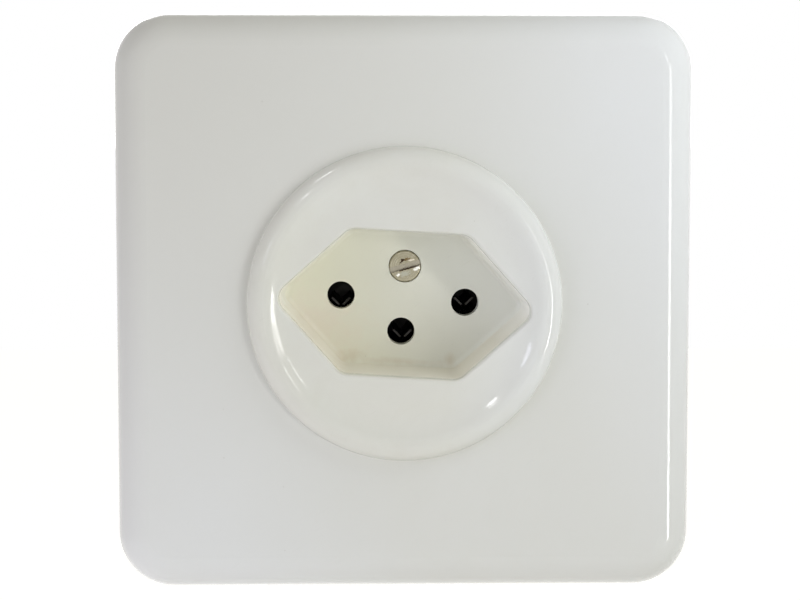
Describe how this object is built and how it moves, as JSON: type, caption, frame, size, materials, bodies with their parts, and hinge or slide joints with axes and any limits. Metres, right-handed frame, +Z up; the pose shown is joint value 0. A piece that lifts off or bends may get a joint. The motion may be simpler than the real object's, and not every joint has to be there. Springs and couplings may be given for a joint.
{
  "type": "flush wall socket",
  "caption": "Flush mains wall socket for round-pin plugs: square cover plate, round front with a pointed recess, contacts and base for a wall box.",
  "frame": {"origin": "centre between the two box screw slots, on the wall face, which is the back of the mounting plate and of the cover plate's rim", "axes": "+Z up, +Y into the wall, +X to the right as seen from the room; the front faces -Y"},
  "size_m": [0.086, 0.0363, 0.086],
  "materials": {
    "plate_white": "gloss white moulded urea plastic, lightly scuffed",
    "front_white": "gloss warm white moulded urea plastic",
    "base_black": "black moulded phenolic plastic",
    "zinc_steel": "zinc-plated steel",
    "screw_nickel": "nickel-plated screw, worn at the slot",
    "contact_nickel": "dull nickel-plated brass strip",
    "bare_brass": "bare brass nuts and rivets",
    "spring_steel": "blued spring steel"
  },
  "bodies": {
    "root": {"clamp_earth": "zinc_steel", "clamp_live": "zinc_steel", "clamp_neutral": "zinc_steel", "contact_earth": "contact_nickel", "contact_live": "contact_nickel", "contact_neutral": "contact_nickel", "cover_plate": "plate_white", "frame_rivets": "bare_brass", "front_nut": "bare_brass", "front_screw": "screw_nickel", "mounting_plate": "zinc_steel", "socket_base": "base_black", "socket_front": "front_white", "spring_earth": "spring_steel", "spring_live": "spring_steel", "spring_neutral": "spring_steel", "terminal_nuts": "bare_brass", "terminal_screws": "zinc_steel"}
  },
  "joints": []
}
